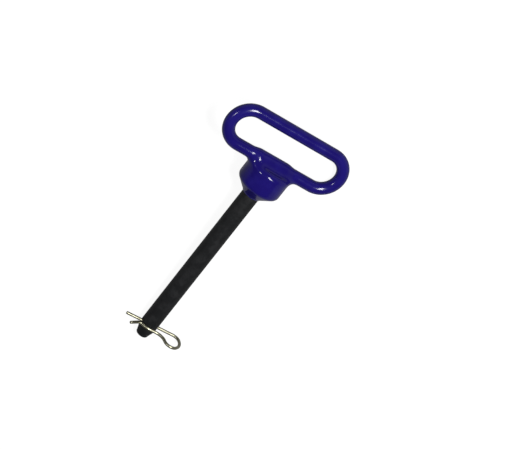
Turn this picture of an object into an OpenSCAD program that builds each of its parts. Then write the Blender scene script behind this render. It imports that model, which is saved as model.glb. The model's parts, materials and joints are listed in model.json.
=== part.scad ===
/* [Pin] */
// Diameter of the shank
pin_d = 19.05; // [14:0.05:26]
// Usable length, from the coat's edge under the head to the near side of the clip's wire
usable_len = 177.8; // [120:0.1:240]
// Length of shank past the middle of the clip's hole
tip_past_hole = 15.1; // [13:0.1:24]
// Length of the tapered nose, its rounded end included
nose_len = 11; // [6:0.1:12]
// Diameter where the taper meets the rounded end
nose_d = 13.4; // [9:0.1:14]
// Radius of the rounded edge at the tip
nose_round = 2.6; // [1:0.1:4]
// Diameter of the cross hole for the clip
clip_hole_d = 5.2; // [4:0.1:7]
// Chamfer at each mouth of the cross hole
clip_hole_chamfer = 0.8; // [0.2:0.1:1.2]
// Turn of the cross hole about the pin, from the plane of the handle
clip_hole_turn = -2; // [-6:0.5:0]
// Loss of radius from the cross hole's near edge to the shoulder of the nose
end_draw = 0.2; // [0.1:0.05:0.4]

/* [Head] */
// Diameter of the steel head
head_d = 44; // [38:0.1:50]
// Depth of the head's widest part below the middle of the handle rod
head_side_depth = 26.4; // [20:0.1:32]
// Slope of the head's underside
head_under_angle = 40.7; // [30:0.1:50]
// Radius of the edge between the head's side and its underside
head_under_round = 4.2; // [2:0.1:6]
// Radius of the hollow between the underside and the shank, which ends just past the coat's edge
neck_round = 5.2; // [4.8:0.1:6]
// Radius of the head's top edge
head_top_round = 4; // [2:0.1:6]
// Depth to which the handle rod is let into the head's top
rod_seat_depth = 0.6; // [0.2:0.1:2]

/* [Handle] */
// Diameter of the handle's steel rod
rod_d = 9.525; // [8:0.025:12]
// Distance from the pin's axis to the middle of each end bend
bend_offset = 45; // [36:0.5:60]
// Radius of each end bend, at the middle of the rod
bend_r = 20.3; // [17:0.1:26]

/* [Coat] */
// Thickness of the dipped vinyl coat
coat_t = 1.8; // [1:0.1:2.5]
// Thickness of the coat's edge on the shank
coat_lip_t = 0.8; // [0.4:0.1:1]
// Length of shank that the coat covers below the head
coat_lip_len = 2.2; // [1.5:0.1:6]
// Extra radius of the coat over the weld between rod and head
weld_coat_t = 1.4; // [0.6:0.1:2]
// Half the length of the weld along the rod
weld_half_len = 15; // [10:0.5:18]
// Length over which the coat runs out from the weld to the bare rod
weld_run_out = 11; // [6:0.5:14]

/* [Clip] */
// Diameter of the clip's wire
wire_d = 3.2; // [2.4:0.1:3.8]
// Gap between the seated clip and the shank
clip_gap = 0.4; // [0.1:0.05:0.6]
// Length of the clip's straight leg past the pin's axis
leg_tip_len = 27; // [20:0.1:34]
// Straight stretch from the top of the bow to the neck of the eye
bow_lead = 6.8; // [3:0.1:8]
// Radius of the eye's two tight bends
eye_r = 7.3; // [6:0.1:9]
// Turn of the eye's first bend
eye_first_turn = 82; // [76:1:90]
// Turn of the eye's wide back
eye_back_turn = 51; // [46:1:60]
// Turn of the eye's last bend, before the neck
eye_last_turn = 123; // [116:1:132]
// Radius of the neck between eye and bow
neck_r = 10.6; // [6:0.1:12]
// Straight stretch between one bend of the wire and the next
bend_lead = 0.8; // [0.4:0.1:1.5]
// Turn of the bow round the shank
bow_turn = 42; // [30:1:60]
// Radius of the bend that flares the bowed leg
flare_r = 4.2; // [4:0.1:8]
// Turn of the flare
flare_turn = 83; // [70:1:95]
// Length of the flared tip
flare_len = 12.4; // [8:0.1:18]
// Tilt of the seated clip in its hole, towards the handle at the eye
clip_tilt = 2.6; // [0:0.1:3]
// Chamfer on the cut ends of the wire
wire_chamfer = 0.4; // [0.1:0.1:0.8]

/* [Hidden] */
$fn = 96;
over = 1;
wire_sides = 24;
bend_step = 7.5;
pin_r = pin_d / 2;
rod_r = rod_d / 2;
wire_r = wire_d / 2;

// Heights along the pin's axis, with 0 at the middle of the handle rod's lower leg
head_top_z = -rod_r + rod_seat_depth;
head_corner_z = -head_side_depth;
head_foot_z = head_corner_z - (head_d / 2 - pin_r) * tan(head_under_angle);
coat_edge_z = head_foot_z - coat_lip_len;
clip_hole_z = coat_edge_z - usable_len - wire_r;
tip_z = clip_hole_z - tip_past_hole;
taper_z = tip_z + nose_len;

// The full diameter ends just before the cross hole, and the shank draws in from there to the shoulder
draw_z = clip_hole_z + clip_hole_d / 2 + clip_hole_chamfer + clip_gap;
shoulder_r = pin_r - end_draw;

// The coat's outline runs parallel to the head's, one coat thickness out
coat_corner_z = head_corner_z - coat_t * tan((90 - head_under_angle) / 2);
coat_head_r = head_d / 2 + coat_t;
coat_rod_r = rod_r + coat_t;

// The assembly lies on the nose, on the edge under the head and on one end bend of the handle.
// pitch lifts the axis from nose to head, and roll lowers the handle's end to the ground.
coat_under_r = head_under_round + coat_t;
rest_edge_z = coat_corner_z + coat_under_r * tan((90 - head_under_angle) / 2);
rest_span = rest_edge_z - taper_z;
rest_rise = coat_head_r - coat_under_r - shoulder_r;
pitch = atan(rest_rise / rest_span) + asin(coat_under_r / norm([rest_span, rest_rise]));
axis_h = shoulder_r * cos(pitch) - taper_z * sin(pitch);
bend_h = axis_h + bend_r * sin(pitch) - coat_rod_r;
bend_root = sqrt(pow(bend_h * bend_offset, 2)
    - (pow(bend_offset, 2) - pow(bend_r, 2)) * (pow(bend_h, 2) - pow(bend_r * sin(pitch), 2)));
roll = asin((pow(bend_h, 2) - pow(bend_r * sin(pitch), 2)) / (bend_h * bend_offset + bend_root) / cos(pitch));

// The origin on the ground is under the middle of the lying assembly
handle_end_x = bend_offset * sin(roll) * sin(pitch) + bend_r * cos(pitch)
    + bend_r * norm([sin(roll) * sin(pitch), cos(pitch)]) + coat_rod_r;
tip_end_x = (tip_z + nose_round) * cos(pitch) - (nose_d / 2 - nose_round) * sin(pitch) - nose_round;
mid_x = (handle_end_x + tip_end_x) / 2;

// The clip's wire, as stretches [length, 0, 0] and bends [0, radius, turn], left turns positive.
// The wide back of the eye takes the radius that brings the neck down to the top of the bow.
bow_r = pin_r + clip_gap + wire_r;
h1 = eye_first_turn;
h2 = h1 + eye_back_turn;
h3 = h2 + eye_last_turn;
bends_rise = eye_r * (1 - cos(h1) + cos(h2) - cos(h3)) - neck_r * (1 + cos(h3));
leads_rise = bend_lead * (sin(h1) + sin(h2) + sin(h3));
eye_back_r = (bow_r - bends_rise - leads_rise) / (cos(h1) - cos(h2));
bends_reach = eye_r * (sin(h1) - sin(h2) + sin(h3)) + neck_r * sin(h3);
leads_reach = bend_lead * (cos(h1) + cos(h2) + cos(h3));
eye_reach = bends_reach + leads_reach + eye_back_r * (sin(h2) - sin(h1));
leg_len = leg_tip_len + bow_lead - eye_reach;
CLIP_PATH = [
    [leg_len, 0, 0],
    [0, eye_r, eye_first_turn],
    [bend_lead, 0, 0],
    [0, eye_back_r, eye_back_turn],
    [bend_lead, 0, 0],
    [0, eye_r, eye_last_turn],
    [bend_lead, 0, 0],
    [0, neck_r, 180 - h3],
    [bow_lead, 0, 0],
    [0, bow_r, bow_turn],
    [bend_lead, 0, 0],
    [0, flare_r, -flare_turn],
    [flare_len, 0, 0]
];

module lying() {
    translate([-mid_x, 0, axis_h])
        rotate([0, -pitch, 0])
            rotate([roll - 90, 0, 0])
                rotate([0, 90, 0])
                    children();
}

// Outline of a round head: a corner with an arc of radius r between side and underside,
// a rounded top edge, and the underside's slope down to the neck's radius
module head_outline(r_side, z_corner, z_top, r_neck, r_under, r_top) {
    cut = r_under * tan((90 - head_under_angle) / 2);
    z_neck = z_corner - (r_side - r_neck) * tan(head_under_angle);
    union() {
        difference() {
            polygon([[0, z_top], [r_side, z_top], [r_side, z_corner], [r_neck, z_neck], [0, z_neck]]);
            translate([r_side - r_top, z_top - r_top])
                square(r_top + over);
            polygon([
                [r_side - r_under, z_corner + cut],
                [r_side + over, z_corner + cut],
                [r_side + over, z_corner - r_under],
                [r_side - cut * cos(head_under_angle), z_corner - cut * sin(head_under_angle)]
            ]);
        }
        translate([r_side - r_top, z_top - r_top])
            circle(r_top);
        translate([r_side - r_under, z_corner + cut])
            circle(r_under);
    }
}

module nose_outline() {
    round_z = tip_z + nose_round;
    union() {
        polygon([[0, draw_z], [pin_r, draw_z], [shoulder_r, taper_z], [nose_d / 2, round_z], [0, round_z]]);
        translate([0, tip_z])
            square([nose_d / 2 - nose_round, nose_round]);
        intersection() {
            translate([nose_d / 2 - nose_round, round_z])
                circle(nose_round);
            translate([0, tip_z])
                square([nose_d / 2, nose_round]);
        }
    }
}

module handle_ring(r) {
    for (side = [-1, 1])
        translate([side * bend_offset, 0, bend_r])
            rotate([90, 0, 0])
                rotate([0, 0, side > 0 ? -90 : 90])
                    rotate_extrude(angle = 180)
                        translate([bend_r, 0])
                            circle(r);
    for (level = [0, 2 * bend_r])
        translate([-bend_offset, 0, level])
            rotate([0, 90, 0])
                cylinder(r = r, h = 2 * bend_offset);
}

// The hollow between the head's underside and the shank
module neck_outline() {
    run = neck_round * tan((90 - head_under_angle) / 2);
    top = [pin_r + run * cos(head_under_angle), head_foot_z + run * sin(head_under_angle)];
    difference() {
        polygon([[pin_r - over, top[1]], top, [pin_r, head_foot_z - run], [pin_r - over, head_foot_z - run]]);
        translate([pin_r + neck_round, head_foot_z - run])
            circle(neck_round);
    }
}

module clip_hole() {
    mouth = pin_r - clip_hole_chamfer;
    translate([0, 0, clip_hole_z])
        rotate([0, 90, clip_hole_turn]) {
            cylinder(d = clip_hole_d, h = pin_d + 2 * over, center = true);
            for (side = [0, 180])
                rotate([side, 0, 0])
                    translate([0, 0, mouth])
                        cylinder(
                            r1 = clip_hole_d / 2,
                            r2 = clip_hole_d / 2 + clip_hole_chamfer + over,
                            h = clip_hole_chamfer + over
                        );
        }
}

module pin_blank() {
    rotate_extrude()
        head_outline(head_d / 2, head_corner_z, head_top_z, pin_r, head_under_round, head_top_round);
    rotate_extrude()
        neck_outline();
    translate([0, 0, draw_z])
        cylinder(r = pin_r, h = head_corner_z - draw_z);
    rotate_extrude()
        nose_outline();
}

module pin() {
    color("#1d1e20")
        lying()
            difference() {
                pin_blank();
                handle_ring(rod_r);
                clip_hole();
            }
}

module handle_rod() {
    color("#8d9094")
        lying()
            handle_ring(rod_r);
}

// The coat over the weld is a sleeve on the rod that runs out to it in a hollow curve
module weld_sleeve() {
    sleeve_r = coat_rod_r + weld_coat_t;
    end = weld_half_len + weld_run_out;
    curve_r = (pow(weld_run_out, 2) + pow(weld_coat_t, 2)) / (2 * weld_coat_t);
    rotate([0, 90, 0])
        rotate_extrude()
            difference() {
                translate([0, -end])
                    square([sleeve_r, 2 * end]);
                for (side = [-1, 1])
                    translate([coat_rod_r + curve_r, side * end])
                        circle(curve_r, $fn = 360);
            }
}

module coat_skin() {
    rotate_extrude()
        head_outline(
            coat_head_r, coat_corner_z, head_top_z + coat_t,
            pin_r + coat_lip_t, head_under_round + coat_t, head_top_round + coat_t
        );
    translate([0, 0, coat_edge_z + coat_lip_t])
        cylinder(r = pin_r + coat_lip_t, h = head_corner_z - coat_edge_z - coat_lip_t);
    translate([0, 0, coat_edge_z])
        cylinder(r1 = pin_r + coat_lip_t / 2, r2 = pin_r + coat_lip_t, h = coat_lip_t);
    handle_ring(coat_rod_r);
    weld_sleeve();
}

module handle_coat() {
    color("#1c1760")
        lying()
            difference() {
                coat_skin();
                pin_blank();
                handle_ring(rod_r);
            }
}

// Stations [x, y, heading] along the wire: one at each end of a stretch, and one for each step of a bend
function stretch_end(p, run) = [p[0] + run * cos(p[2]), p[1] + run * sin(p[2]), p[2]];
function bend_point(p, r, turn) = [
    p[0] + sign(turn) * r * (sin(p[2] + turn) - sin(p[2])),
    p[1] - sign(turn) * r * (cos(p[2] + turn) - cos(p[2])),
    p[2] + turn
];
function piece_stations(p, piece) = piece[2] == 0
    ? [stretch_end(p, piece[0])]
    : let (steps = ceil(abs(piece[2]) / bend_step))
        [for (k = [1:steps]) bend_point(p, piece[1], piece[2] * k / steps)];
function stations(path, done, i = 0) = i == len(path)
    ? done
    : stations(path, concat(done, piece_stations(done[len(done) - 1], path[i])), i + 1);

// A round wire through the stations, its two ends cut square with a small chamfer
module bent_wire(path) {
    line = stations(path, [[0, 0, 0]]);
    last = len(line) - 1;
    rings = concat(
        [concat(line[0], wire_r - wire_chamfer), concat(stretch_end(line[0], wire_chamfer), wire_r)],
        [for (i = [1:last - 1]) concat(line[i], wire_r)],
        [
            concat(stretch_end(line[last], -wire_chamfer), wire_r),
            concat(line[last], wire_r - wire_chamfer)
        ]
    );
    n = wire_sides;
    points = [
        for (ring = rings, k = [0:n - 1])
            let (across = ring[3] * cos(360 * k / n), up = ring[3] * sin(360 * k / n))
                [ring[0] - across * sin(ring[2]), ring[1] + across * cos(ring[2]), up]
    ];
    end = (len(rings) - 1) * n;
    walls = [
        for (i = [0:len(rings) - 2], k = [0:n - 1])
            let (here = i * n + k, next = i * n + (k + 1) % n)
                [here, here + n, next + n, next]
    ];
    caps = [[for (k = [0:n - 1]) k], [for (k = [n - 1:-1:0]) end + k]];
    polyhedron(points, concat(walls, caps), convexity = 6);
}

// The clip's plane is square to the pin, with its bow on the upper side of the lying shank
module clip() {
    color("#8f8f7c")
        lying()
            translate([0, 0, clip_hole_z])
                rotate([0, 0, clip_hole_turn])
                    rotate([0, -clip_tilt, 0])
                        translate([-leg_tip_len, 0, 0])
                            mirror([0, 1, 0])
                                bent_wire(CLIP_PATH);
}

pin();
handle_rod();
handle_coat();
clip();
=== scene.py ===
import json
import logging
import math
from dataclasses import dataclass, field
from enum import Enum

import bpy
import numpy as np
from mathutils import Matrix, Vector


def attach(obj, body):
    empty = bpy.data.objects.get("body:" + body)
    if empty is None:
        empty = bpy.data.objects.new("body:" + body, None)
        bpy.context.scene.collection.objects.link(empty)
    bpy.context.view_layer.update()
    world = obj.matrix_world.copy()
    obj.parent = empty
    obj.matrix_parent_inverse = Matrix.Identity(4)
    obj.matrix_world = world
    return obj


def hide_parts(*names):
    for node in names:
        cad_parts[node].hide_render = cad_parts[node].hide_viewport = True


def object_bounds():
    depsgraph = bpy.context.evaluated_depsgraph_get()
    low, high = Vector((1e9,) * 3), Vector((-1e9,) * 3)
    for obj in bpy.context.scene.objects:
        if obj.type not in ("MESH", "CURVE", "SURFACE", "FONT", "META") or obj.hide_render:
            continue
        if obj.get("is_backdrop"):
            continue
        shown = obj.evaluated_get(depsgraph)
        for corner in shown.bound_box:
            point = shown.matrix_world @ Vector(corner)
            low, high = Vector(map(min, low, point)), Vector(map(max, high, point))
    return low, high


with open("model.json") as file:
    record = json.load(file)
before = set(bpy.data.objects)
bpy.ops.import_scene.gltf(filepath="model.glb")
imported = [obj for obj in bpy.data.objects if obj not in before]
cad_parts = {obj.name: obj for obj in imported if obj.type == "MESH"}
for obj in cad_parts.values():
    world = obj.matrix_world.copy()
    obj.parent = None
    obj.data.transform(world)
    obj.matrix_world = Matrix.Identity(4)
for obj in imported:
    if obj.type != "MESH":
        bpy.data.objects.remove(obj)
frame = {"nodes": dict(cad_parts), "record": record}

LOG = logging.getLogger("hitch_pin")
MM = 0.001


@dataclass(frozen=True)
class ShankSizes:
    """Sizes of the steel pin in millimetres, with heights from the middle of the handle's lower leg."""

    radius: float = 9.525
    usable_length: float = 177.8
    tip_past_hole: float = 15.1
    nose_length: float = 11.0
    nose_radius: float = 6.7
    nose_round: float = 2.6
    hole_radius: float = 2.6
    hole_chamfer: float = 0.8
    hole_turn_deg: float = -2.0
    # Loss of radius towards the nose, and the height above the cross hole's middle where it starts
    end_draw: float = 0.2
    draw_lead: float = 3.8
    shoulder_ease: float = 1.2


@dataclass(frozen=True)
class HeadSizes:
    """Sizes of the round steel head in millimetres."""

    radius: float = 22.0
    side_depth: float = 26.4
    under_angle_deg: float = 40.7
    under_round: float = 4.2
    top_round: float = 4.0
    neck_round: float = 5.2
    rod_seat: float = 0.6

    def under_slope(self) -> float:
        """Returns the slope of the underside as rise over run."""
        return math.tan(math.radians(self.under_angle_deg))

    def corner_cut(self) -> float:
        """Returns how far below the steel corner the coat's corner lies, per millimetre of coat."""
        return math.tan(math.radians((90 - self.under_angle_deg) / 2))


@dataclass(frozen=True)
class HandleSizes:
    """Sizes of the handle's bar in millimetres: a flat loop of two legs and two end bends."""

    rod_radius: float = 4.7625
    bend_offset: float = 45.0
    bend_radius: float = 20.3


@dataclass(frozen=True)
class CoatSizes:
    """Sizes of the dipped coat in millimetres."""

    thickness: float = 1.8
    lip_thickness: float = 0.8
    lip_length: float = 2.2
    weld_lump: float = 1.4
    weld_half_length: float = 15.0
    weld_run_out: float = 11.0
    # The weld's middle lies off the pin's axis, along the handle
    weld_middle: float = -3.8
    weld_fillet: float = 9.0
    neck_fillet: float = 1.2
    edge_round: float = 5.9
    lip_soften: float = 0.9


@dataclass(frozen=True)
class ClipSizes:
    """Sizes of the wire clip in millimetres and degrees, from the tip of its straight leg to its flared tip."""

    wire_radius: float = 1.6
    gap: float = 0.4
    leg_tip: float = 27.0
    bow_lead: float = 6.8
    eye_radius: float = 7.3
    eye_first_turn: float = 82.0
    eye_back_turn: float = 51.0
    eye_last_turn: float = 123.0
    neck_radius: float = 10.6
    bend_lead: float = 0.8
    bow_turn: float = 42.0
    flare_radius: float = 4.2
    flare_turn: float = 83.0
    flare_length: float = 12.4
    tilt_deg: float = 2.6
    end_chamfer: float = 0.45


@dataclass(frozen=True)
class Sizes:
    """All driving sizes, and the heights along the pin that follow from them."""

    shank: ShankSizes = ShankSizes()
    head: HeadSizes = HeadSizes()
    handle: HandleSizes = HandleSizes()
    coat: CoatSizes = CoatSizes()
    clip: ClipSizes = ClipSizes()

    @property
    def head_top(self) -> float:
        """Height of the steel head's top, with the rod let into it."""
        return -self.handle.rod_radius + self.head.rod_seat

    @property
    def head_corner(self) -> float:
        """Height of the corner between the head's side and its underside."""
        return -self.head.side_depth

    @property
    def head_foot(self) -> float:
        """Height at which the head's underside meets the shank."""
        return self.head_corner - (self.head.radius - self.shank.radius) * self.head.under_slope()

    @property
    def coat_edge(self) -> float:
        """Height at which the coat ends on the shank."""
        return self.head_foot - self.coat.lip_length

    @property
    def wall_top(self) -> float:
        """Height at which the hollow under the head runs out into the straight shank."""
        return self.head_foot - self.head.neck_round * self.head.corner_cut()

    @property
    def hole(self) -> float:
        """Height of the middle of the cross hole."""
        return self.coat_edge - self.shank.usable_length - self.clip.wire_radius

    @property
    def tip(self) -> float:
        """Height of the pin's tip."""
        return self.hole - self.shank.tip_past_hole

    @property
    def coat_rod_radius(self) -> float:
        """Radius of the coated bar."""
        return self.handle.rod_radius + self.coat.thickness


@dataclass(frozen=True)
class LyingPose:
    """How the pin's own frame, with +Z along the pin to its handle, lies in the row frame.

    Args:
        origin: the middle of the handle's lower leg, in metres in the row frame.
        turn: the pin's own axes as columns, in the row frame.
    """

    origin: np.ndarray
    turn: np.ndarray

    @classmethod
    def from_record(cls, record: dict, sizes: Sizes) -> "LyingPose":
        """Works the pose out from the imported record's shank mount and clip joint.

        The mount's axis runs along the pin to its nose, from the top of the straight shank. The joint's axis
        lies along the clip's leg, which is turned about the pin from the plane of the handle.

        Args:
            record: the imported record.
            sizes: the driving sizes.

        Returns:
            The pose of the lying pin.
        """
        mount = next(m for m in record["mounts"] if m["name"] == "shank")
        joint = next(j for j in record["behaviour"]["joints"] if j["name"] == "clip_pull")
        up = -np.array(mount["axis"], float)
        up /= np.linalg.norm(up)
        across = np.array(joint["axis"], float)
        across -= (across @ up) * up
        across /= np.linalg.norm(across)
        side = np.cross(up, across)
        turn = math.radians(sizes.shank.hole_turn_deg)
        x_axis = math.cos(turn) * across - math.sin(turn) * side
        axes = np.stack([x_axis, np.cross(up, x_axis), up], axis=1)
        origin = np.array(mount["pos_m"], float) - up * sizes.wall_top * MM
        return cls(origin, axes)

    def place(self, points: np.ndarray) -> np.ndarray:
        """Returns points given in millimetres in the pin's frame as metres in the row frame."""
        return points @ self.turn.T * MM + self.origin

    def unplace(self, points: np.ndarray) -> np.ndarray:
        """Returns points given in metres in the row frame as millimetres in the pin's frame."""
        return (points - self.origin) @ self.turn / MM

    def direction(self, vector: np.ndarray) -> np.ndarray:
        """Returns a direction in the pin's frame as one in the row frame."""
        return np.asarray(vector, float) @ self.turn.T


def skin_faces(rows: int, sides: int, closed: bool) -> np.ndarray:
    """Quads between neighbouring rings of a grid.

    Quad (i, j) joins points (i, j), (i, j+1), (i+1, j+1) and (i+1, j), with j taken round the ring.

    Args:
        rows: number of rings.
        sides: number of points in a ring.
        closed: whether the last ring joins the first.

    Returns:
        Corner numbers, four to a row.
    """
    i = np.arange(rows if closed else rows - 1)[:, None]
    j = np.arange(sides)[None, :]
    after_i = (i + 1) % rows
    after_j = (j + 1) % sides
    corners = (i * sides + j, i * sides + after_j, after_i * sides + after_j, after_i * sides + j)
    return np.stack(np.broadcast_arrays(*corners), axis=-1).reshape(-1, 4)


def fan_faces(first: int, sides: int, pole: int, flip: bool) -> np.ndarray:
    """Triangles from a ring to one pole point.

    Args:
        first: number of the ring's first point.
        sides: number of points in the ring.
        pole: number of the pole point.
        flip: whether the triangles run against the ring.

    Returns:
        Corner numbers, three to a row.
    """
    j = np.arange(sides)
    here = first + j
    after = first + (j + 1) % sides
    pair = (after, here) if flip else (here, after)
    return np.stack([pair[0], pair[1], np.full(sides, pole)], axis=1)


def mesh_from(name: str, points: np.ndarray, quads: np.ndarray, fans: list[np.ndarray]) -> bpy.types.Mesh:
    """A smooth-shaded mesh from whole arrays.

    Args:
        name: the mesh's name.
        points: corner points in metres in the row frame.
        quads: corner numbers, four to a row.
        fans: arrays of corner numbers, three to a row.

    Returns:
        The new mesh.
    """
    loops = np.concatenate([quads.ravel(), *[f.ravel() for f in fans]]).astype(np.int32)
    totals = np.concatenate([np.full(len(quads), 4), *[np.full(len(f), 3) for f in fans]]).astype(np.int32)
    starts = (np.cumsum(totals) - totals).astype(np.int32)
    mesh = bpy.data.meshes.new(name)
    mesh.vertices.add(len(points))
    mesh.vertices.foreach_set("co", points.astype(np.float32).ravel())
    mesh.loops.add(len(loops))
    mesh.loops.foreach_set("vertex_index", loops)
    mesh.polygons.add(len(totals))
    mesh.polygons.foreach_set("loop_start", starts)
    mesh.polygons.foreach_set("loop_total", totals)
    mesh.polygons.foreach_set("use_smooth", np.ones(len(totals), bool))
    mesh.update(calc_edges=True)
    mesh.validate()
    return mesh


def object_from(mesh: bpy.types.Mesh) -> bpy.types.Object:
    """Returns a new object at the origin that shows the mesh."""
    obj = bpy.data.objects.new(mesh.name, mesh)
    bpy.context.scene.collection.objects.link(obj)
    return obj


def applied(obj: bpy.types.Object) -> bpy.types.Object:
    """Returns the object with its modifiers worked into its mesh."""
    bpy.context.view_layer.update()
    done = bpy.data.meshes.new_from_object(obj.evaluated_get(bpy.context.evaluated_depsgraph_get()))
    done.name = obj.data.name
    obj.modifiers.clear()
    obj.data = done
    return obj


def arc(centre: tuple[float, float], radius: float, start_deg: float, end_deg: float, count: int) -> np.ndarray:
    """Points (centre + radius * (cos t, sin t)) as t runs evenly from the start to the end angle."""
    t = np.radians(np.linspace(start_deg, end_deg, count))
    return np.stack([centre[0] + radius * np.cos(t), centre[1] + radius * np.sin(t)], axis=1)


def lathe(profile: np.ndarray, sides: int) -> tuple[np.ndarray, np.ndarray, list[np.ndarray]]:
    """A turned surface: (r cos t, r sin t, z) over a profile of (r, z), whose two ends lie on the axis.

    Args:
        profile: radii and heights from the top pole down to the lower pole.
        sides: number of points round the axis.

    Returns:
        Points, quads and the fans that close the poles.
    """
    t = np.linspace(0, 2 * math.pi, sides, endpoint=False)
    inner = profile[1:-1]
    radius = inner[:, :1]
    height = np.broadcast_to(inner[:, 1:], (len(inner), sides))
    rings = np.stack([radius * np.cos(t), radius * np.sin(t), height], axis=-1)
    poles = np.array([[0, 0, profile[0, 1]], [0, 0, profile[-1, 1]]])
    points = np.concatenate([rings.reshape(-1, 3), poles])
    count = len(inner) * sides
    quads = skin_faces(len(inner), sides, closed=False)[:, ::-1]
    fans = [
        fan_faces(0, sides, count, flip=False),
        fan_faces(count - sides, sides, count + 1, flip=True),
    ]
    return points, quads, fans


def ring_tube(line: np.ndarray, across: np.ndarray, radius: float, sides: int) -> tuple:
    """A round tube that closes on itself: line + r (cos t * across + sin t * (heading x across)).

    Args:
        line: stations along the middle of the tube.
        across: unit directions square to the line at each station.
        radius: the tube's radius.
        sides: number of points round the tube.

    Returns:
        Points, quads and an empty list, as the tube has no ends.
    """
    heading = np.roll(line, -1, 0) - np.roll(line, 1, 0)
    heading /= np.linalg.norm(heading, axis=1, keepdims=True)
    lift = np.cross(heading, across)
    t = np.linspace(0, 2 * math.pi, sides, endpoint=False)
    ring = np.cos(t)[None, :, None] * across[:, None] + np.sin(t)[None, :, None] * lift[:, None]
    points = (line[:, None] + radius * ring).reshape(-1, 3)
    return points, skin_faces(len(line), sides, closed=True), []


def smooth_min(a: np.ndarray, b: np.ndarray, reach: float) -> np.ndarray:
    """The lower of two distances, blended by reach * h * (1 - h) where they are within reach of each other."""
    h = np.clip(0.5 + 0.5 * (b - a) / reach, 0, 1)
    return b * (1 - h) + a * h - reach * h * (1 - h)


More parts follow.
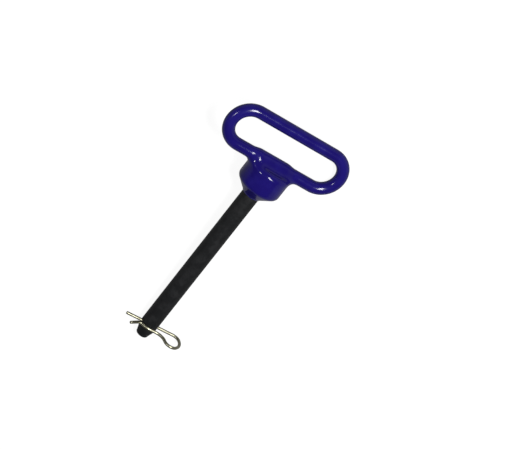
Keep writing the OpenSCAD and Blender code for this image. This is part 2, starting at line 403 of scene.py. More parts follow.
@dataclass
class DippedCoat:
    """The coat over the handle, the weld and the head, as one flowing skin."""

    sizes: Sizes
    pose: LyingPose
    voxel: float = 0.62
    settle_steps: int = 4
    # Half the step over which the skin's slope is measured, in millimetres
    probe: float = 0.02
    least_slope_squared: float = 0.25
    loop_steps: int = 90
    bar_sides: int = 40
    head_sides: int = 96
    # Blobs under the coat along the weld, as x, y, z, reach and height in millimetres
    lumps: np.ndarray = field(default_factory=lambda: np.array([
        [-19.5, -5.5, 3.0, 3.4, 0.9],
        [-22.8, -5.2, -3.6, 2.4, 0.9],
        [-20.6, -9.4, -6.6, 2.6, 0.9],
        [-13.5, -7.5, -3.0, 4.2, 0.7],
        [-4.0, -7.5, -2.5, 5.0, 0.5],
        [6.0, -6.5, -3.0, 4.2, 0.4],
    ]))

    def loop_line(self, count: int) -> np.ndarray:
        """Stations along the middle of the handle: two straight legs joined by half circles.

        Args:
            count: stations in each leg and in each bend.

        Returns:
            Stations in the pin's frame.
        """
        h = self.sizes.handle
        run = np.linspace(-h.bend_offset, h.bend_offset, count, endpoint=False)
        low = np.stack([run, 0 * run], axis=1)
        right = arc((h.bend_offset, h.bend_radius), h.bend_radius, -90, 90, count + 1)[:-1]
        high = np.stack([-run, 0 * run + 2 * h.bend_radius], axis=1)
        left = arc((-h.bend_offset, h.bend_radius), h.bend_radius, 90, 270, count + 1)[:-1]
        flat = np.concatenate([low, right, high, left])
        return np.stack([flat[:, 0], 0 * flat[:, 0], flat[:, 1]], axis=1)

    def handle_distance(self, p: np.ndarray) -> np.ndarray:
        """Distance to the coated bar: to its flat loop line, less its radius, which grows over the weld.

        Args:
            p: points in the pin's frame.

        Returns:
            One distance for each point.
        """
        h, c = self.sizes.handle, self.sizes.coat
        x, y, z = p.T
        rise = z - h.bend_radius
        on_leg = np.abs(x) < h.bend_offset
        off_loop = np.where(on_leg, np.abs(rise), np.hypot(np.abs(x) - h.bend_offset, rise)) - h.bend_radius
        off_weld = np.abs(x - c.weld_middle)
        run = np.clip((c.weld_half_length + c.weld_run_out - off_weld) / c.weld_run_out, 0, 1)
        lump = c.weld_lump * run * run * (3 - 2 * run) * (z < h.bend_radius)
        return np.hypot(off_loop, y) - self.sizes.coat_rod_radius - lump

    def head_distance(self, p: np.ndarray) -> np.ndarray:
        """Distance to the coated head and the collar below it.

        In radius and height, the head is the outline through top, side and sloped underside, drawn in by the
        edge radius. The distance is that to the drawn-in outline, less the edge radius.

        Args:
            p: points in the pin's frame.

        Returns:
            One distance for each point.
        """
        s, c = self.sizes, self.sizes.coat
        slope = math.radians(s.head.under_angle_deg)
        radius = np.hypot(p[:, 0], p[:, 1])
        spots = np.stack([radius, p[:, 2]], axis=1)
        side_radius = s.head.radius + c.thickness
        corner = s.head_corner - c.thickness * s.head.corner_cut()
        top = s.head_top + c.thickness - c.edge_round
        side = side_radius - c.edge_round
        elbow = corner + c.edge_round * s.head.corner_cut()
        outline = np.array([[0, top], [side, top], [side, elbow], [0, elbow - side * s.head.under_slope()]])
        away = np.full(len(p), np.inf)
        for start, end in zip(outline[:-1], outline[1:]):
            run = end - start
            share = np.clip((spots - start) @ run / (run @ run), 0, 1)
            away = np.minimum(away, np.linalg.norm(spots - start - share[:, None] * run, axis=1))
        over_top = p[:, 2] - top
        past_side = radius - side
        below = past_side * math.sin(slope) - (p[:, 2] - elbow) * math.cos(slope)
        inside = np.maximum(np.maximum(over_top, past_side), below)
        soft = np.where(inside > 0, away, inside) - c.edge_round
        collar_radius = s.shank.radius + c.lip_thickness
        edge = s.coat_edge - p[:, 2]
        collar = -smooth_min(collar_radius - radius, -edge, c.lip_soften)
        collar = np.maximum(collar, p[:, 2] - s.head_corner)
        return smooth_min(soft, collar, c.neck_fillet)

    def skin_distance(self, p: np.ndarray) -> np.ndarray:
        """Distance to the coat's skin: bar and head run into each other, and the weld's blobs lift the skin.

        Args:
            p: points in the pin's frame.

        Returns:
            One distance for each point.
        """
        skin = smooth_min(self.handle_distance(p), self.head_distance(p), self.sizes.coat.weld_fillet)
        for x, y, z, reach, height in self.lumps:
            away = ((p - (x, y, z)) ** 2).sum(axis=1)
            skin = skin - height * np.exp(-away / (2 * reach * reach))
        return skin

    def rough_skin(self) -> bpy.types.Object:
        """The bar's tube and the turned head in one mesh, still crossing each other."""
        s, c = self.sizes, self.sizes.coat
        line = self.loop_line(self.loop_steps)
        across = np.broadcast_to([0.0, 1.0, 0.0], line.shape)
        bar = ring_tube(line, across, s.coat_rod_radius, self.bar_sides)
        side_radius = s.head.radius + c.thickness
        corner = s.head_corner - c.thickness * s.head.corner_cut()
        foot = corner - (side_radius - s.shank.radius - c.lip_thickness) * s.head.under_slope()
        top = s.head_top + c.thickness
        bevel = s.head.top_round
        profile = np.array([
            [0, top], [side_radius - bevel, top], [side_radius, top - bevel], [side_radius, corner],
            [s.shank.radius + c.lip_thickness, foot], [s.shank.radius + c.lip_thickness, s.coat_edge],
            [0, s.coat_edge],
        ])
        head = lathe(profile, self.head_sides)
        joined = [bar, head]
        offsets = np.cumsum([0] + [len(part[0]) for part in joined])
        points = self.pose.place(np.concatenate([part[0] for part in joined]))
        quads = np.concatenate([part[1] + o for part, o in zip(joined, offsets)])
        fans = [fan + o for part, o in zip(joined, offsets) for fan in part[2]]
        return object_from(mesh_from("coat_skin", points, quads, fans))

    def build(self) -> bpy.types.Object:
        """Remeshes the rough skin evenly, evens its points out and settles each one on the flowing skin.

        A point moves along the slope g of the distance f by -f g / |g|^2, a few times over.

        Returns:
            The coat, which stands for the handle's coat.
        """
        coat = self.rough_skin()
        remesh = coat.modifiers.new("even", "REMESH")
        remesh.mode = "VOXEL"
        remesh.voxel_size = self.voxel * MM
        relax = coat.modifiers.new("relax", "SMOOTH")
        relax.factor = 0.5
        relax.iterations = 6
        applied(coat)
        mesh = coat.data
        flat = np.empty(len(mesh.vertices) * 3, np.float32)
        mesh.vertices.foreach_get("co", flat)
        p = self.pose.unplace(flat.reshape(-1, 3).astype(float))
        for _ in range(self.settle_steps):
            f = self.skin_distance(p)
            g = np.stack([
                (self.skin_distance(p + d) - self.skin_distance(p - d)) / (2 * self.probe)
                for d in np.eye(3) * self.probe
            ], axis=1)
            p -= (f / np.maximum((g * g).sum(axis=1), self.least_slope_squared))[:, None] * g
        mesh.vertices.foreach_set("co", self.pose.place(p).astype(np.float32).ravel())
        mesh.polygons.foreach_set("use_smooth", np.ones(len(mesh.polygons), bool))
        mesh.update()
        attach(coat, "pin")
        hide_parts("handle_coat")
        LOG.info("coat_skin: %d faces, stands for handle_coat", len(mesh.polygons))
        return coat


@dataclass
class TurnedPin:
    """The steel pin: head, shank, tapered nose and cross hole."""

    sizes: Sizes
    pose: LyingPose
    sides: int = 160
    cutter_sides: int = 64
    over: float = 2.0

    def outline(self) -> np.ndarray:
        """Radii and heights from the middle of the head's top down to the middle of the tip.

        Returns:
            Points (r, z), with arcs at the head's two edges, at the taper's shoulder and at the tip.
        """
        s, head, shank = self.sizes, self.sizes.head, self.sizes.shank
        slope = head.under_angle_deg
        cut = head.under_round * head.corner_cut()
        top = arc((head.radius - head.top_round, s.head_top - head.top_round), head.top_round, 90, 0, 12)
        under = arc((head.radius - head.under_round, s.head_corner + cut), head.under_round, 0, slope - 90, 10)
        taper = s.tip + shank.nose_length
        shoulder_radius = shank.radius - shank.end_draw
        round_off = shank.nose_round
        tip = arc((shank.nose_radius - round_off, s.tip + round_off), round_off, 0, -90, 14)
        drop = shoulder_radius - shank.nose_radius
        lean = math.degrees(math.atan2(drop, shank.nose_length - shank.nose_round))
        ease = shank.shoulder_ease
        shoulder_height = taper + ease * math.tan(math.radians(lean / 2))
        shoulder = arc((shoulder_radius - ease, shoulder_height), ease, 0, -lean, 6)
        run = np.linspace(s.wall_top, s.hole + shank.draw_lead, 60)
        body = np.stack([np.full(len(run), shank.radius), run], axis=1)
        neck = arc((shank.radius + head.neck_round, s.wall_top), head.neck_round, 90 + slope, 180, 10)
        ends = np.array([[0, s.head_top]]), np.array([[0, s.tip]])
        return np.concatenate([ends[0], top, under, neck, body[1:], shoulder, tip, ends[1]])

    def hole_cutter(self) -> bpy.types.Object:
        """A turned plug with a cone at each end, which cuts the cross hole and its two chamfers."""
        s, shank = self.sizes, self.sizes.shank
        reach = shank.radius + self.over
        mouth = shank.radius - shank.hole_chamfer
        wide = shank.hole_radius + shank.hole_chamfer + self.over
        profile = np.array([
            [0, reach], [wide, reach], [shank.hole_radius, mouth],
            [shank.hole_radius, -mouth], [wide, -reach], [0, -reach],
        ])
        points, quads, fans = lathe(profile, self.cutter_sides)
        turn = math.radians(shank.hole_turn_deg)
        x_axis = np.array([math.cos(turn), math.sin(turn), 0])
        y_axis = np.array([-math.sin(turn), math.cos(turn), 0])
        axes = np.stack([y_axis, np.array([0.0, 0.0, 1.0]), x_axis], axis=0)
        placed = points @ axes + (0, 0, s.hole)
        return object_from(mesh_from("hole_cutter", self.pose.place(placed), quads, fans))

    def build(self) -> bpy.types.Object:
        """Turns the pin and cuts its cross hole.

        Returns:
            The pin, which stands for the pin's node.
        """
        points, quads, fans = lathe(self.outline(), self.sides)
        pin = object_from(mesh_from("turned_pin", self.pose.place(points), quads, fans))
        cutter = self.hole_cutter()
        cut = pin.modifiers.new("cross_hole", "BOOLEAN")
        cut.operation = "DIFFERENCE"
        cut.solver = "EXACT"
        cut.object = cutter
        applied(pin)
        bpy.data.objects.remove(cutter)
        pin.data.polygons.foreach_set("use_smooth", np.ones(len(pin.data.polygons), bool))
        pin.data.set_sharp_from_angle(angle=math.radians(28))
        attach(pin, "pin")
        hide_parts("pin")
        LOG.info("turned_pin: %d faces, stands for pin", len(pin.data.polygons))
        return pin


@dataclass
class WireClip:
    """The hairpin clip: one round wire, bent in one plane."""

    sizes: Sizes
    pose: LyingPose
    sides: int = 36
    step_deg: float = 3.0
    straight_steps: int = 14

    def bends(self) -> list[tuple[float, float, float]]:
        """The wire as (length, radius, turn) stretches and bends, left turns positive.

        The wide back of the eye takes the radius that brings the neck down to the top of the bow.

        Returns:
            The pieces in order, a straight stretch having no turn.
        """
        c = self.sizes.clip
        bow = self.sizes.shank.radius + c.gap + c.wire_radius
        first, second, third = np.radians(np.cumsum([c.eye_first_turn, c.eye_back_turn, c.eye_last_turn]))
        sin, cos = math.sin, math.cos
        rise = c.eye_radius * (1 - cos(first) + cos(second) - cos(third)) - c.neck_radius * (1 + cos(third))
        rise += c.bend_lead * (sin(first) + sin(second) + sin(third))
        back = (bow - rise) / (cos(first) - cos(second))
        reach = c.eye_radius * (sin(first) - sin(second) + sin(third)) + c.neck_radius * sin(third)
        reach += c.bend_lead * (cos(first) + cos(second) + cos(third)) + back * (sin(second) - sin(first))
        lead = (c.bend_lead, 0.0, 0.0)
        return [
            (c.leg_tip + c.bow_lead - reach, 0.0, 0.0),
            (0.0, c.eye_radius, c.eye_first_turn), lead,
            (0.0, back, c.eye_back_turn), lead,
            (0.0, c.eye_radius, c.eye_last_turn), lead,
            (0.0, c.neck_radius, 180 - math.degrees(third)),
            (c.bow_lead, 0.0, 0.0),
            (0.0, bow, c.bow_turn), lead,
            (0.0, c.flare_radius, -c.flare_turn),
            (c.flare_length, 0.0, 0.0),
        ]

    def line(self) -> tuple[np.ndarray, np.ndarray]:
        """Stations along the wire and their headings.

        A straight stretch adds length * (cos h, sin h). A bend of radius r and turn t adds
        r * (sin(h + t) - sin h, cos h - cos(h + t)), with the sign of t.

        Returns:
            Flat stations and headings in radians.
        """
        spots, headings = [np.zeros((1, 2))], [np.zeros(1)]
        spot, heading = np.zeros(2), 0.0
        for length, radius, turn in self.bends():
            if turn == 0:
                share = np.linspace(0, 1, self.straight_steps + 1)[1:, None]
                run = spot + share * length * np.array([math.cos(heading), math.sin(heading)])
                turned = np.full(len(run), heading)
            else:
                count = max(4, round(abs(turn) / self.step_deg))
                turned = heading + math.radians(turn) * np.linspace(0, 1, count + 1)[1:]
                sign = math.copysign(1, turn)
                change = [np.sin(turned) - math.sin(heading), math.cos(heading) - np.cos(turned)]
                run = spot + sign * radius * np.stack(change, axis=1)
            spots.append(run)
            headings.append(turned)
            spot, heading = run[-1], turned[-1]
        return np.concatenate(spots), np.concatenate(headings)

    def build(self) -> bpy.types.Object:
        """Sweeps the wire along its line and chamfers its two cut ends.

        Returns:
            The clip, which stands for the clip's node.
        """
        c, shank = self.sizes.clip, self.sizes.shank
        flat, heading = self.line()
        ends = [flat[0] + c.end_chamfer * np.array([1.0, 0.0])]
        last = flat[-1] - c.end_chamfer * np.array([math.cos(heading[-1]), math.sin(heading[-1])])
        flat = np.concatenate([flat[:1], ends, flat[1:-1], [last], flat[-1:]])
        heading = np.concatenate([heading[:1], heading[:-1], heading[-1:], heading[-1:]])
        radii = np.full(len(flat), c.wire_radius)
        radii[[0, -1]] -= c.end_chamfer
        turn = math.radians(shank.hole_turn_deg)
        tilt = math.radians(c.tilt_deg)
        x_axis = np.array([math.cos(tilt) * math.cos(turn), math.cos(tilt) * math.sin(turn), math.sin(tilt)])
        y_axis = np.array([math.sin(turn), -math.cos(turn), 0])
        line = (flat[:, :1] - c.leg_tip) * x_axis + flat[:, 1:] * y_axis + (0, 0, self.sizes.hole)
        across = -np.sin(heading)[:, None] * x_axis + np.cos(heading)[:, None] * y_axis
        points, quads, fans = self.swept(line, across, np.cross(x_axis, y_axis), radii)
        clip = object_from(mesh_from("wire_clip", self.pose.place(points), quads, fans))
        clip.data.set_sharp_from_angle(angle=math.radians(35))
        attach(clip, "clip")
        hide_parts("clip")
        LOG.info("wire_clip: %d faces, stands for clip", len(clip.data.polygons))
        return clip

    def swept(self, line: np.ndarray, across: np.ndarray, lift: np.ndarray, radii: np.ndarray) -> tuple:
        """A tube with rings line + r (cos t * across + sin t * lift).

        Args:
            line: stations of the wire.
            across: unit directions in the clip's plane, square to the wire.
            lift: unit direction square to the clip's plane.
            radii: radius at each station.

        Returns:
            Points, quads and fans.
        """
        t = np.linspace(0, 2 * math.pi, self.sides, endpoint=False)
        ring = np.cos(t)[None, :, None] * across[:, None] + np.sin(t)[None, :, None] * lift
        points = (line[:, None] + radii[:, None, None] * ring).reshape(-1, 3)
        count = len(points)
        fans = [
            fan_faces(0, self.sides, count, flip=True),
            fan_faces(count - self.sides, self.sides, count + 1, flip=False),
        ]
        return np.concatenate([points, line[:1], line[-1:]]), skin_faces(len(line), self.sides, False), fans


class Socket(Enum):
    """Kinds of socket that a node group's interface has."""

    VALUE = "NodeSocketFloat"
    VECTOR = "NodeSocketVector"
    COLOUR = "NodeSocketColor"


@dataclass
class NodeSheet:
    """A node tree with short calls for placing and joining its nodes."""

    tree: bpy.types.NodeTree
    column: int = 0

    def add(self, kind: str, **settings: object) -> bpy.types.Node:
        """Adds a node.

        Args:
            kind: the node's type name.
            settings: its properties.

        Returns:
            The new node.
        """
        node = self.tree.nodes.new(kind)
        node.location = (self.column * 180, 0)
        self.column += 1
        for name, value in settings.items():
            setattr(node, name, value)
        return node

    def join(self, source: bpy.types.NodeSocket, target: bpy.types.NodeSocket) -> None:
        """Joins an output socket to an input socket."""
        self.tree.links.new(source, target)

    def math(self, operation: str, a: object, b: object) -> bpy.types.NodeSocket:
        """Adds a Math node.

        Args:
            operation: the node's operation.
            a: first value or socket.
            b: second value or socket.

        Returns:
            The node's output.
        """
        node = self.add("ShaderNodeMath", operation=operation)
        for slot, value in ((0, a), (1, b)):
            self.feed(value, node.inputs[slot])
        return node.outputs[0]

    def feed(self, value: object, target: bpy.types.NodeSocket) -> None:
        """Joins a socket to the target, or sets the target's own value."""
        if isinstance(value, bpy.types.NodeSocket):
            self.join(value, target)
        else:
            target.default_value = value

    def noise(
        self, vector: object, scale: object, detail: float = 3.0, rough: float = 0.55
    ) -> bpy.types.NodeSocket:
        """Adds a noise texture.

        Args:
            vector: socket with the place.
            scale: the pattern's scale, per metre.
            detail: number of octaves.
            rough: share that each octave keeps.

        Returns:
            The noise as a value.
        """
        node = self.add("ShaderNodeTexNoise")
        self.join(vector, node.inputs["Vector"])
        self.feed(scale, node.inputs["Scale"])
        node.inputs["Detail"].default_value = detail
        node.inputs["Roughness"].default_value = rough
        return node.outputs["Fac"]

    def ramp(self, value: bpy.types.NodeSocket, low: float, high: float) -> bpy.types.NodeSocket:
        """Adds a Map Range node that takes low to 0 and high to 1 smoothly."""
        node = self.add("ShaderNodeMapRange", interpolation_type="SMOOTHSTEP")
        self.join(value, node.inputs["Value"])
        self.feed(low, node.inputs["From Min"])
        self.feed(high, node.inputs["From Max"])
        return node.outputs["Result"]

    def mix(self, mask: object, a: object, b: object) -> bpy.types.NodeSocket:
        """Adds a colour mix.

        Args:
            mask: share of the second colour.
            a: first colour or socket.
            b: second colour or socket.

        Returns:
            The mixed colour.
        """
        node = self.add("ShaderNodeMix", data_type="RGBA")
        self.feed(mask, node.inputs["Factor"])
        for name, value in (("A", a), ("B", b)):
            target = next(s for s in node.inputs if s.name == name and s.type == "RGBA")
            self.feed((*value, 1.0) if isinstance(value, tuple) and len(value) == 3 else value, target)
        return next(s for s in node.outputs if s.type == "RGBA")


class Effects:
    """Shader node groups that several finishes share, each built once."""

    def __init__(self) -> None:
        """Builds the groups."""
        self.mottle = self.make_mottle()
        self.drawn_lines = self.make_drawn_lines()

    def start(self, name: str, inputs: dict[str, tuple[Socket, object]], outputs: dict[str, Socket]) -> tuple:
        """Starts a node group with named sockets.

        Args:
            name: the group's name.
            inputs: socket kind and default value by name.
            outputs: socket kind by name.

        Returns:
            The group, its sheet, its input node and its output node.
        """
        group = bpy.data.node_groups.new(name, "ShaderNodeTree")
        for label, (kind, value) in inputs.items():
            socket = group.interface.new_socket(label, in_out="INPUT", socket_type=kind.value)
            if value is not None:
                socket.default_value = value
        for label, kind in outputs.items():
            group.interface.new_socket(label, in_out="OUTPUT", socket_type=kind.value)
        sheet = NodeSheet(group)
        return group, sheet, sheet.add("NodeGroupInput"), sheet.add("NodeGroupOutput")

    def make_mottle(self) -> bpy.types.NodeTree:
        """Cloudy patches over the surface: noise of noise, eased between two levels."""
        inputs = {
            "Vector": (Socket.VECTOR, None), "Scale": (Socket.VALUE, 60.0),
            "Low": (Socket.VALUE, 0.4), "High": (Socket.VALUE, 0.65),
        }
        group, sheet, start, end = self.start("cloudy_patches", inputs, {"Mask": Socket.VALUE})
        wide = sheet.noise(start.outputs["Vector"], start.outputs["Scale"], detail=5.0, rough=0.6)
        mask = sheet.ramp(wide, start.outputs["Low"], start.outputs["High"])
        sheet.join(mask, end.inputs["Mask"])
        return group

    def make_drawn_lines(self) -> bpy.types.NodeTree:
        """Fine lines along one direction: noise on a place that is stretched along X."""
        inputs = {
            "Vector": (Socket.VECTOR, None), "Stretch": (Socket.VECTOR, (1.0, 40.0, 40.0)),
            "Scale": (Socket.VALUE, 60.0),
        }
        group, sheet, start, end = self.start("drawn_lines", inputs, {"Height": Socket.VALUE})
        stretched = sheet.add("ShaderNodeVectorMath", operation="MULTIPLY")
        sheet.join(start.outputs["Vector"], stretched.inputs[0])
        sheet.join(start.outputs["Stretch"], stretched.inputs[1])
        lines = sheet.noise(stretched.outputs[0], start.outputs["Scale"], detail=2.0, rough=0.5)
        sheet.join(lines, end.inputs["Height"])
        return group


@dataclass(frozen=True)
class Finish:
    """A finish with two colours that mottle into each other, and a fine relief.

    Args:
        name: the material's name.
        colour: main colour, linear.
        patch_colour: colour of the patches, linear.
    """

    name: str
    colour: tuple[float, float, float]
    patch_colour: tuple[float, float, float]
    metallic: float = 0.0
    roughness: tuple[float, float] = (0.3, 0.4)
    patch_scale: float = 60.0
    patch_levels: tuple[float, float] = (0.42, 0.66)
    relief_scale: float = 400.0
    relief_height: float = 0.00002
    relief_strength: float = 0.3
    line_strength: float = 0.0
    line_stretch: tuple[float, float, float] = (1.0, 40.0, 40.0)
    line_scale: float = 60.0
    specular: float = 0.5

    def material(self, effects: Effects) -> bpy.types.Material:
        """Builds the material.

        Args:
            effects: the shared node groups.

        Returns:
            A material on Object coordinates.
        """
        material = bpy.data.materials.new(self.name)
        material.use_nodes = True
        tree = material.node_tree
        tree.nodes.clear()
        sheet = NodeSheet(tree)
        place = sheet.add("ShaderNodeTexCoord").outputs["Object"]
        patches = sheet.add("ShaderNodeGroup", node_tree=effects.mottle)
        sheet.join(place, patches.inputs["Vector"])
        patches.inputs["Scale"].default_value = self.patch_scale
        patches.inputs["Low"].default_value = self.patch_levels[0]
        patches.inputs["High"].default_value = self.patch_levels[1]
        mask = patches.outputs["Mask"]
        colour = sheet.mix(mask, self.colour, self.patch_colour)
        low, high = self.roughness
        rough = sheet.math("ADD", sheet.math("MULTIPLY", mask, high - low), low)
        height = sheet.noise(place, self.relief_scale, detail=3.0)
        if self.line_strength:
            lines = sheet.add("ShaderNodeGroup", node_tree=effects.drawn_lines)
            sheet.join(place, lines.inputs["Vector"])
            lines.inputs["Stretch"].default_value = self.line_stretch
            lines.inputs["Scale"].default_value = self.line_scale
            ridges = sheet.math("MULTIPLY", lines.outputs["Height"], self.line_strength)
            height = sheet.math("ADD", height, ridges)
        bump = sheet.add("ShaderNodeBump")
        bump.inputs["Strength"].default_value = self.relief_strength
        bump.inputs["Distance"].default_value = self.relief_height
        sheet.join(height, bump.inputs["Height"])
        shader = sheet.add("ShaderNodeBsdfPrincipled")
        shader.inputs["Metallic"].default_value = self.metallic
        shader.inputs["Specular IOR Level"].default_value = self.specular
        sheet.join(colour, shader.inputs["Base Color"])
        sheet.join(rough, shader.inputs["Roughness"])
        sheet.join(bump.outputs["Normal"], shader.inputs["Normal"])
        out = sheet.add("ShaderNodeOutputMaterial")
        sheet.join(shader.outputs["BSDF"], out.inputs["Surface"])
        return material


def dress(obj: bpy.types.Object, material: bpy.types.Material) -> None:
    """Gives the whole object one material."""
    obj.data.materials.clear()
    obj.data.materials.append(material)


@dataclass(frozen=True)
class Lamp:
    """A soft square lamp, placed by direction from the object, in the row frame.

    Args:
        name: the lamp's name.
        azimuth_deg: direction round the object, 0 at -Y and 90 at +X.
        elevation_deg: height above the floor.
        distance: metres from the object.
        size: width and height in metres.
        power: watts.
    """

    name: str
    azimuth_deg: float
    elevation_deg: float
    distance: float
    size: tuple[float, float]
    power: float

    def build(self, target: Vector) -> None:
        """Hangs the lamp and turns it to the target."""
        data = bpy.data.lights.new(self.name, "AREA")
        data.shape = "RECTANGLE"
        data.size, data.size_y = self.size
        data.energy = self.power
        lamp = bpy.data.objects.new(self.name, data)
        a, e = math.radians(self.azimuth_deg), math.radians(self.elevation_deg)
        back = Vector((math.sin(a) * math.cos(e), -math.cos(a) * math.cos(e), math.sin(e)))
        lamp.location = target + back * self.distance
        lamp.rotation_mode = "QUATERNION"
        lamp.rotation_quaternion = (-back).to_track_quat("-Z", "Y")
        bpy.context.scene.collection.objects.link(lamp)


@dataclass
class Studio:
    """The white floor, the white surroundings and the soft lamps."""

    target: Vector
    lamps: tuple[Lamp, ...] = (
        Lamp("key", 43.8, 60.9, 1.6, (0.75, 0.34), 40.0),
        Lamp("side", 173.0, 58.0, 1.6, (0.24, 0.24), 8.0),
    )
    floor_glow: float = 0.9
    floor_colour: float = 0.10
    ambient: float = 0.36
    floor_half: float = 6.0
    floor_mirrored: float = 0.22
    horizon: float = 0.35
    ceiling: float = 0.03
    ceiling_from: float = 0.12
    ceiling_to: float = 0.45

    def seen_mask(self, sheet: NodeSheet) -> bpy.types.NodeSocket:
        """Returns 1 for camera and transmission rays, a share for glossy ones, and 0 for the rest."""
        path = sheet.add("ShaderNodeLightPath")
        seen = sheet.math("MAXIMUM", path.outputs["Is Camera Ray"], path.outputs["Is Transmission Ray"])
        mirrored = sheet.math("MULTIPLY", path.outputs["Is Glossy Ray"], self.floor_mirrored)
        return sheet.math("MAXIMUM", seen, mirrored)

    def floor(self) -> None:
        """Lays the floor: pale and diffuse, with a glow for the rays that see it, so its shadow stays faint."""
        half = self.floor_half
        corners = [(-half, -half, 0), (half, -half, 0), (half, half, 0), (-half, half, 0)]
        mesh = bpy.data.meshes.new("floor")
        mesh.from_pydata(corners, [], [(0, 1, 2, 3)])
        floor = object_from(mesh)
        material = bpy.data.materials.new("white_floor")
        material.use_nodes = True
        material.node_tree.nodes.clear()
        sheet = NodeSheet(material.node_tree)
        diffuse = sheet.add("ShaderNodeBsdfDiffuse")
        diffuse.inputs["Color"].default_value = (self.floor_colour,) * 3 + (1.0,)
        glow = sheet.add("ShaderNodeEmission")
        glow.inputs["Color"].default_value = (1.0, 1.0, 1.0, 1.0)
        sheet.join(sheet.math("MULTIPLY", self.seen_mask(sheet), self.floor_glow), glow.inputs["Strength"])
        both = sheet.add("ShaderNodeAddShader")
        sheet.join(diffuse.outputs[0], both.inputs[0])
        sheet.join(glow.outputs[0], both.inputs[1])
        out = sheet.add("ShaderNodeOutputMaterial")
        sheet.join(both.outputs[0], out.inputs["Surface"])
        dress(floor, material)
        floor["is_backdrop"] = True

    def surroundings(self) -> None:
        """Makes the world white to the camera, a soft fill, and for gloss a horizon below a dark ceiling."""
        world = bpy.data.worlds.new("studio")
        bpy.context.scene.world = world
        world.use_nodes = True
        world.node_tree.nodes.clear()
        sheet = NodeSheet(world.node_tree)
        path = sheet.add("ShaderNodeLightPath")
        heading = sheet.add("ShaderNodeSeparateXYZ")
        sheet.join(sheet.add("ShaderNodeTexCoord").outputs["Generated"], heading.inputs[0])
        height = sheet.ramp(heading.outputs["Z"], self.ceiling_from, self.ceiling_to)
        fall = sheet.math("MULTIPLY", height, self.ceiling - self.horizon)
        mirrored = sheet.math("ADD", fall, self.horizon)
        seen = sheet.math("MAXIMUM", path.outputs["Is Camera Ray"], path.outputs["Is Transmission Ray"])
        soft = sheet.math("MULTIPLY", path.outputs["Is Diffuse Ray"], self.ambient)
        strength = sheet.math("MAXIMUM", seen, soft)
        gloss = sheet.math("MULTIPLY", path.outputs["Is Glossy Ray"], mirrored)
        strength = sheet.math("MAXIMUM", strength, gloss)
        shine = sheet.add("ShaderNodeBackground")
        shine.inputs["Color"].default_value = (1.0, 1.0, 1.0, 1.0)
        sheet.join(strength, shine.inputs["Strength"])
        out = sheet.add("ShaderNodeOutputWorld")
        sheet.join(shine.outputs[0], out.inputs["Surface"])

    def build(self) -> None:
        """Lays the floor, lights the room and sets the plain view transform."""
        self.floor()
        self.surroundings()
        for lamp in self.lamps:
            lamp.build(self.target)
        bpy.context.scene.view_settings.view_transform = "Standard"
        LOG.info("studio: floor, surroundings and %d lamps", len(self.lamps))


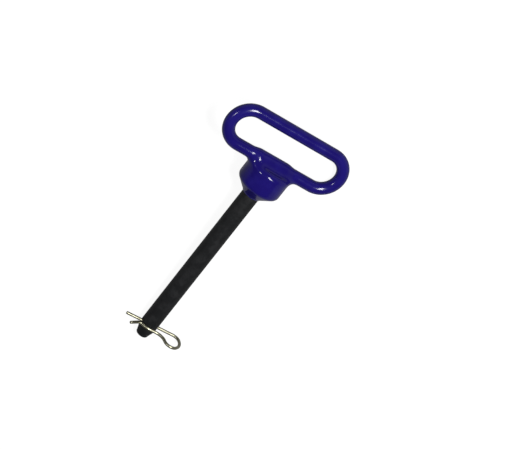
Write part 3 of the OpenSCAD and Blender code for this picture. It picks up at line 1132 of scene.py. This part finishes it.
@dataclass(frozen=True)
class PhotoCamera:
    """The photograph's camera, by its direction in the pin's own frame.

    Args:
        azimuth_deg: direction to the camera round the pin, 0 at -Y.
        elevation_deg: direction to the camera above the plane square to the pin.
        roll_deg: clockwise turn of the picture.
        distance: millimetres from the middle of the handle's lower leg.
        scale: picture points per millimetre there.
        leg_spot: picture point of the middle of the handle's lower leg.
        picture: width and height of the picture in points.
    """

    azimuth_deg: float = -23.5
    elevation_deg: float = 20.0
    roll_deg: float = 38.209
    distance: float = 2500.0
    scale: float = 1.0132
    leg_spot: tuple[float, float] = (274.23, 164.86)
    picture: tuple[int, int] = (510, 450)
    sensor: float = 36.0

    def build(self, pose: LyingPose) -> bpy.types.Object:
        """Sets the camera up.

        Args:
            pose: how the pin lies.

        Returns:
            The camera.
        """
        a, e, roll = (math.radians(v) for v in (self.azimuth_deg, self.elevation_deg, self.roll_deg))
        back = np.array([math.sin(a) * math.cos(e), -math.cos(a) * math.cos(e), math.sin(e)])
        right = np.array([math.cos(a), math.sin(a), 0.0])
        up = np.cross(back, right)
        focal = self.distance * self.scale
        off_u = self.picture[0] / 2 - self.leg_spot[0]
        off_v = self.picture[1] / 2 - self.leg_spot[1]
        off_right = (math.cos(roll) * off_u + math.sin(roll) * off_v) / focal
        off_down = (math.cos(roll) * off_v - math.sin(roll) * off_u) / focal
        forward = -back + off_right * right - off_down * up
        forward /= np.linalg.norm(forward)
        picture_up = math.cos(roll) * up - math.sin(roll) * right
        picture_up -= (picture_up @ forward) * forward
        picture_up /= np.linalg.norm(picture_up)
        picture_right = np.cross(forward, picture_up)
        axes = [pose.direction(v) for v in (picture_right, picture_up, -forward)]
        data = bpy.data.cameras.new("photo_camera")
        data.sensor_width = self.sensor
        data.lens = focal * self.sensor / self.picture[0]
        data.clip_end = 50.0
        camera = bpy.data.objects.new("photo_camera", data)
        turn = Matrix(np.stack(axes, axis=1).tolist()).to_4x4()
        spot = pose.place(back * self.distance)
        camera.matrix_world = Matrix.Translation(Vector(spot.tolist())) @ turn
        bpy.context.scene.collection.objects.link(camera)
        bpy.context.scene.camera = camera
        LOG.info("camera: lens %.1f mm, at %s", data.lens, np.round(spot, 3).tolist())
        return camera


FINISHES = {
    "coat": Finish(
        "dipped_blue_vinyl", (0.0058, 0.0032, 0.072), (0.0072, 0.0044, 0.087),
        roughness=(0.13, 0.19), patch_scale=45.0, relief_scale=130.0, relief_height=0.00001,
        relief_strength=0.05, specular=0.24,
    ),
    "pin": Finish(
        "black_oxide_steel", (0.0052, 0.0055, 0.0060), (0.0070, 0.0073, 0.0080),
        roughness=(0.42, 0.6), patch_scale=110.0, relief_scale=1500.0, relief_height=0.00002,
        relief_strength=0.35, line_strength=0.8, line_stretch=(40.0, 1.0, 1.0), line_scale=60.0,
        specular=0.17,
    ),
    "bar": Finish(
        "drawn_bar_steel", (0.36, 0.37, 0.38), (0.28, 0.28, 0.29), metallic=1.0, roughness=(0.3, 0.45),
        patch_scale=80.0, line_strength=1.0,
    ),
    "clip": Finish(
        "yellow_zinc_wire", (0.32, 0.31, 0.23), (0.20, 0.19, 0.13), metallic=1.0, roughness=(0.32, 0.42),
        patch_scale=160.0, patch_levels=(0.4, 0.7), relief_scale=900.0, relief_height=0.000004,
        relief_strength=0.1,
    ),
}


def main() -> None:
    """Builds the camera, the pieces, their finishes and the studio, in that order."""
    logging.basicConfig(level=logging.INFO, format="%(name)s: %(message)s")
    cad_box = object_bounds()
    sizes = Sizes()
    pose = LyingPose.from_record(frame["record"], sizes)
    PhotoCamera().build(pose)
    effects = Effects()
    materials = {name: finish.material(effects) for name, finish in FINISHES.items()}
    dress(DippedCoat(sizes, pose).build(), materials["coat"])
    dress(TurnedPin(sizes, pose).build(), materials["pin"])
    dress(WireClip(sizes, pose).build(), materials["clip"])
    dress(frame["nodes"]["handle_rod"], materials["bar"])
    middle = (cad_box[0] + cad_box[1]) / 2
    Studio(middle).build()


if __name__ == "__main__":
    main()
